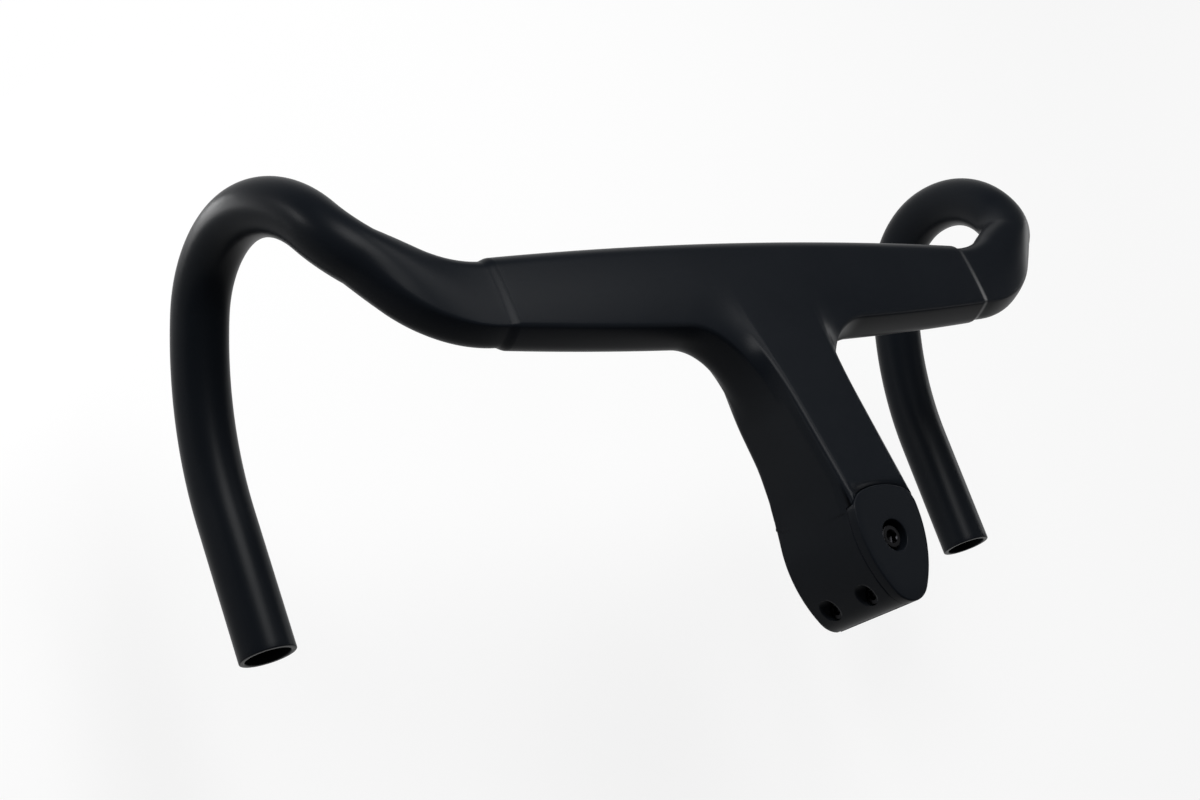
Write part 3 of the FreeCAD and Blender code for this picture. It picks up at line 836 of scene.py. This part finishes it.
def add_screw(skin, sizes, seat, axis):
    """Socket screw with a knurled head and a cut thread; its head's underside is at the seat."""
    diameter, length, head_d, head_h, flats, depth, pitch = sizes
    head, shank, cut = head_d / 2, diameter / 2, 0.6 * pitch
    rim, lead, groove, bevel, neck, plain, per_turn = 0.5, 0.4, 0.2, 0.25, 0.3, 2.0, 6
    floor = depth - head_h
    profile = [(hexagon(flats), floor), (hexagon(flats), lead - head_h), (even(0.6 * flats), -head_h)]
    profile += [(even(head - into), rim - up - head_h) for into, up in reversed(quarter(rim))]
    profile += [(knurl(head, groove), rim + lead - head_h), (knurl(head, groove), -2 * bevel)]
    profile += [(even(head), -bevel), (even(head - bevel), 0)]
    profile += [(even(shank + neck - up), neck - into) for into, up in reversed(quarter(neck, 3))]
    end = length - 2 * neck
    steps = ceil((end - plain) / pitch * per_turn)
    for i in range(steps + 1):
        far = plain + (end - plain) * i / steps
        profile.append((thread(shank, cut * min(1, i / per_turn), far / pitch), far))
    profile.append((even(shank - cut), length))
    turned(skin, seat, axis, profile, (floor + 0.3 * flats, length))


def barrel_skin(edge):
    """Both threaded barrels, with chamfered ends and bores."""
    skin = Skin()
    end, bore, outer = BARREL_LENGTH, BARREL_BORE_R, BARREL_R
    corners = [
        (bore + edge, 0), (outer - edge, 0), (outer, edge), (outer, end - edge), (outer - edge, end),
        (bore + edge, end), (bore, end - edge), (bore, edge)]
    profile = [(even(radius), far) for radius, far in corners]
    for height in SCREW_HEIGHTS:
        turned(skin, Vector((SEAT_X, -SCREW_BACK, height)), X, profile)
    return skin


def build(name, skin, material, node, finish=None):
    """Object for a skin, which stands for a CAD node."""
    mesh = bmesh.new()
    verts = [mesh.verts.new(point * MM) for point in skin.points]
    for face in skin.faces:
        mesh.faces.new([verts[i] for i in face])
    if finish:
        finish(mesh)
    loose = [edge for edge in mesh.edges if not edge.is_manifold]
    if loose:
        raise RuntimeError(f"{name} has {len(loose)} open edges")
    bmesh.ops.recalc_face_normals(mesh, faces=mesh.faces)
    data = bpy.data.meshes.new(name)
    mesh.to_mesh(data)
    mesh.free()
    data.shade_smooth()
    data.set_sharp_from_angle(angle=radians(35))
    data.materials.append(material)
    piece = bpy.data.objects.new(name, data)
    bpy.context.scene.collection.objects.link(piece)
    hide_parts(node)
    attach(piece, "root")
    return piece


# Pieces

class HANDLEBAR_OT_moulding(bpy.types.Operator):
    """Satin skin on the bar, stem and clamp"""

    bl_idname = "handlebar.moulding"
    bl_label = "Moulding"

    def execute(self, context):
        skin = satin("satin_skin", context.scene.handlebar_finish)
        build(
            "moulding", moulding_skin(context.scene.handlebar_shape), skin, "bar_stem_body",
            finish=add_clamp)
        return {"FINISHED"}


class HANDLEBAR_OT_cap(bpy.types.Operator):
    """Satin cap over the clamp"""

    bl_idname = "handlebar.cap"
    bl_label = "Cap"

    def execute(self, context):
        skin = satin("satin_cap", context.scene.handlebar_finish)
        edge = context.scene.handlebar_shape.edge_round / MM
        build("cap", cap_skin(edge), skin, "top_cap")
        return {"FINISHED"}


class HANDLEBAR_OT_screws(bpy.types.Operator):
    """Blackened screws of the cap and clamp"""

    bl_idname = "handlebar.screws"
    bl_label = "Screws"

    def execute(self, context):
        steel = metal("black_steel", context.scene.handlebar_finish.steel_colour, STEEL_ROUGHNESS)
        one, pair = Skin(), Skin()
        add_screw(one, CAP_SCREW, Z * CAP_SEAT, -Z)
        for height in SCREW_HEIGHTS:
            add_screw(pair, CLAMP_SCREW, Vector((-SEAT_X, -SCREW_BACK, height)), X)
        build("cap_screw_thread", one, steel, "cap_screw")
        build("clamp_screw_threads", pair, steel, "clamp_screws")
        return {"FINISHED"}


class HANDLEBAR_OT_barrels(bpy.types.Operator):
    """Anodised barrels that the clamp screws turn into"""

    bl_idname = "handlebar.barrels"
    bl_label = "Barrels"

    def execute(self, context):
        anodised = metal("anodised_barrel", context.scene.handlebar_finish.barrel_colour, BARREL_ROUGHNESS)
        edge = context.scene.handlebar_shape.edge_round / MM
        build("barrels", barrel_skin(edge), anodised, "clamp_barrels")
        return {"FINISHED"}


class HANDLEBAR_OT_studio(bpy.types.Operator):
    """Pale floor, soft lights and the camera"""

    bl_idname = "handlebar.studio"
    bl_label = "Studio"

    def execute(self, context):
        scene, studio = context.scene, context.scene.handlebar_studio
        scene.view_settings.view_transform = "Standard"
        self.floor(studio)
        self.world(scene)
        self.lights(scene, studio)
        self.camera(scene, studio)
        return {"FINISHED"}

    def floor(self, studio):
        bpy.ops.mesh.primitive_plane_add(
            size=FLOOR_SIZE, location=(0, 0, CAD_BOX[0].z - studio.floor_drop))
        floor = bpy.context.object
        floor.name = "floor"
        material = bpy.data.materials.new("pale_floor")
        material.use_nodes = True
        tree = material.node_tree
        shader = tree.nodes["Principled BSDF"]
        shader.inputs["Base Color"].default_value = (*[FLOOR_TONE] * 3, 1)
        shader.inputs["Roughness"].default_value = FLOOR_ROUGHNESS
        white = add_node(tree, "ShaderNodeEmission", {"Color": (1, 1, 1, 1), "Strength": 1.0})
        path = add_node(tree, "ShaderNodeLightPath").outputs
        seen = path["Is Camera Ray"]
        for other in ("Is Glossy Ray", "Is Transmission Ray"):
            seen = add_node(
                tree, "ShaderNodeMath", links={0: seen, 1: path[other]}, operation="MAXIMUM").outputs[0]
        share = add_node(
            tree, "ShaderNodeMath", {1: FLOOR_GLOW}, {0: seen}, operation="MULTIPLY").outputs[0]
        mix = add_node(
            tree, "ShaderNodeMixShader", links={0: share, 1: shader.outputs[0], 2: white.outputs[0]})
        tree.links.new(mix.outputs[0], tree.nodes["Material Output"].inputs["Surface"])
        floor.data.materials.append(material)

    def world(self, scene):
        world = bpy.data.worlds.new("studio_world")
        scene.world = world
        world.use_nodes = True
        back = world.node_tree.nodes["Background"]
        back.inputs["Color"].default_value = (1, 1, 1, 1)
        back.inputs["Strength"].default_value = WORLD_STRENGTH

    def light(self, scene, name, place, target, size, power):
        data = bpy.data.lights.new(name, "AREA")
        data.shape, data.size, data.size_y, data.energy = "RECTANGLE", size[0], size[1], power
        lamp = bpy.data.objects.new(name, data)
        lamp.location = place
        lamp.rotation_mode = "QUATERNION"
        lamp.rotation_quaternion = (Vector(target) - Vector(place)).to_track_quat("-Z", "Y")
        lamp.visible_camera = False
        scene.collection.objects.link(lamp)

    def lights(self, scene, studio):
        self.light(scene, "key", KEY_PLACE, KEY_TARGET, KEY_SIZE, studio.key_power)
        for *lamp, share in LAMPS:
            self.light(scene, *lamp, share * studio.edge_power)

    def camera(self, scene, studio):
        data = bpy.data.cameras.new("camera")
        data.sensor_width, data.lens, data.clip_end = 36.0, studio.lens, 50
        camera = bpy.data.objects.new("camera", data)
        right, up = Vector(CAMERA_RIGHT), Vector(CAMERA_UP)
        back = right.cross(up).normalized()
        up = back.cross(right).normalized()
        turn = Matrix((right.normalized(), up, back)).transposed()
        camera.matrix_world = Matrix.Translation(CAMERA_PLACE) @ turn.to_4x4()
        scene.collection.objects.link(camera)
        scene.camera = camera


class HANDLEBAR_PT_panel(bpy.types.Panel):
    """Settings and steps of the handlebar"""

    bl_label = "Handlebar"
    bl_idname = "HANDLEBAR_PT_panel"
    bl_space_type = "VIEW_3D"
    bl_region_type = "UI"
    bl_category = "Handlebar"

    def draw(self, context):
        scene = context.scene
        for group in (scene.handlebar_shape, scene.handlebar_finish, scene.handlebar_studio):
            box = self.layout.box()
            for name in group.bl_rna.properties.keys():
                if name not in ("rna_type", "name"):
                    box.prop(group, name)
        for operator in OPERATORS:
            self.layout.operator(operator.bl_idname)


OPERATORS = (
    HANDLEBAR_OT_moulding,
    HANDLEBAR_OT_cap,
    HANDLEBAR_OT_screws,
    HANDLEBAR_OT_barrels,
    HANDLEBAR_OT_studio,
)
CLASSES = (ShapeSettings, FinishSettings, StudioSettings, *OPERATORS, HANDLEBAR_PT_panel)


def register():
    for cls in CLASSES:
        bpy.utils.register_class(cls)
    bpy.types.Scene.handlebar_shape = bpy.props.PointerProperty(type=ShapeSettings)
    bpy.types.Scene.handlebar_finish = bpy.props.PointerProperty(type=FinishSettings)
    bpy.types.Scene.handlebar_studio = bpy.props.PointerProperty(type=StudioSettings)


def unregister():
    del bpy.types.Scene.handlebar_studio
    del bpy.types.Scene.handlebar_finish
    del bpy.types.Scene.handlebar_shape
    for cls in reversed(CLASSES):
        bpy.utils.unregister_class(cls)


def main():
    register()
    bpy.ops.handlebar.moulding()
    bpy.ops.handlebar.cap()
    bpy.ops.handlebar.screws()
    bpy.ops.handlebar.barrels()
    bpy.ops.handlebar.studio()


if __name__ == "__main__":
    main()
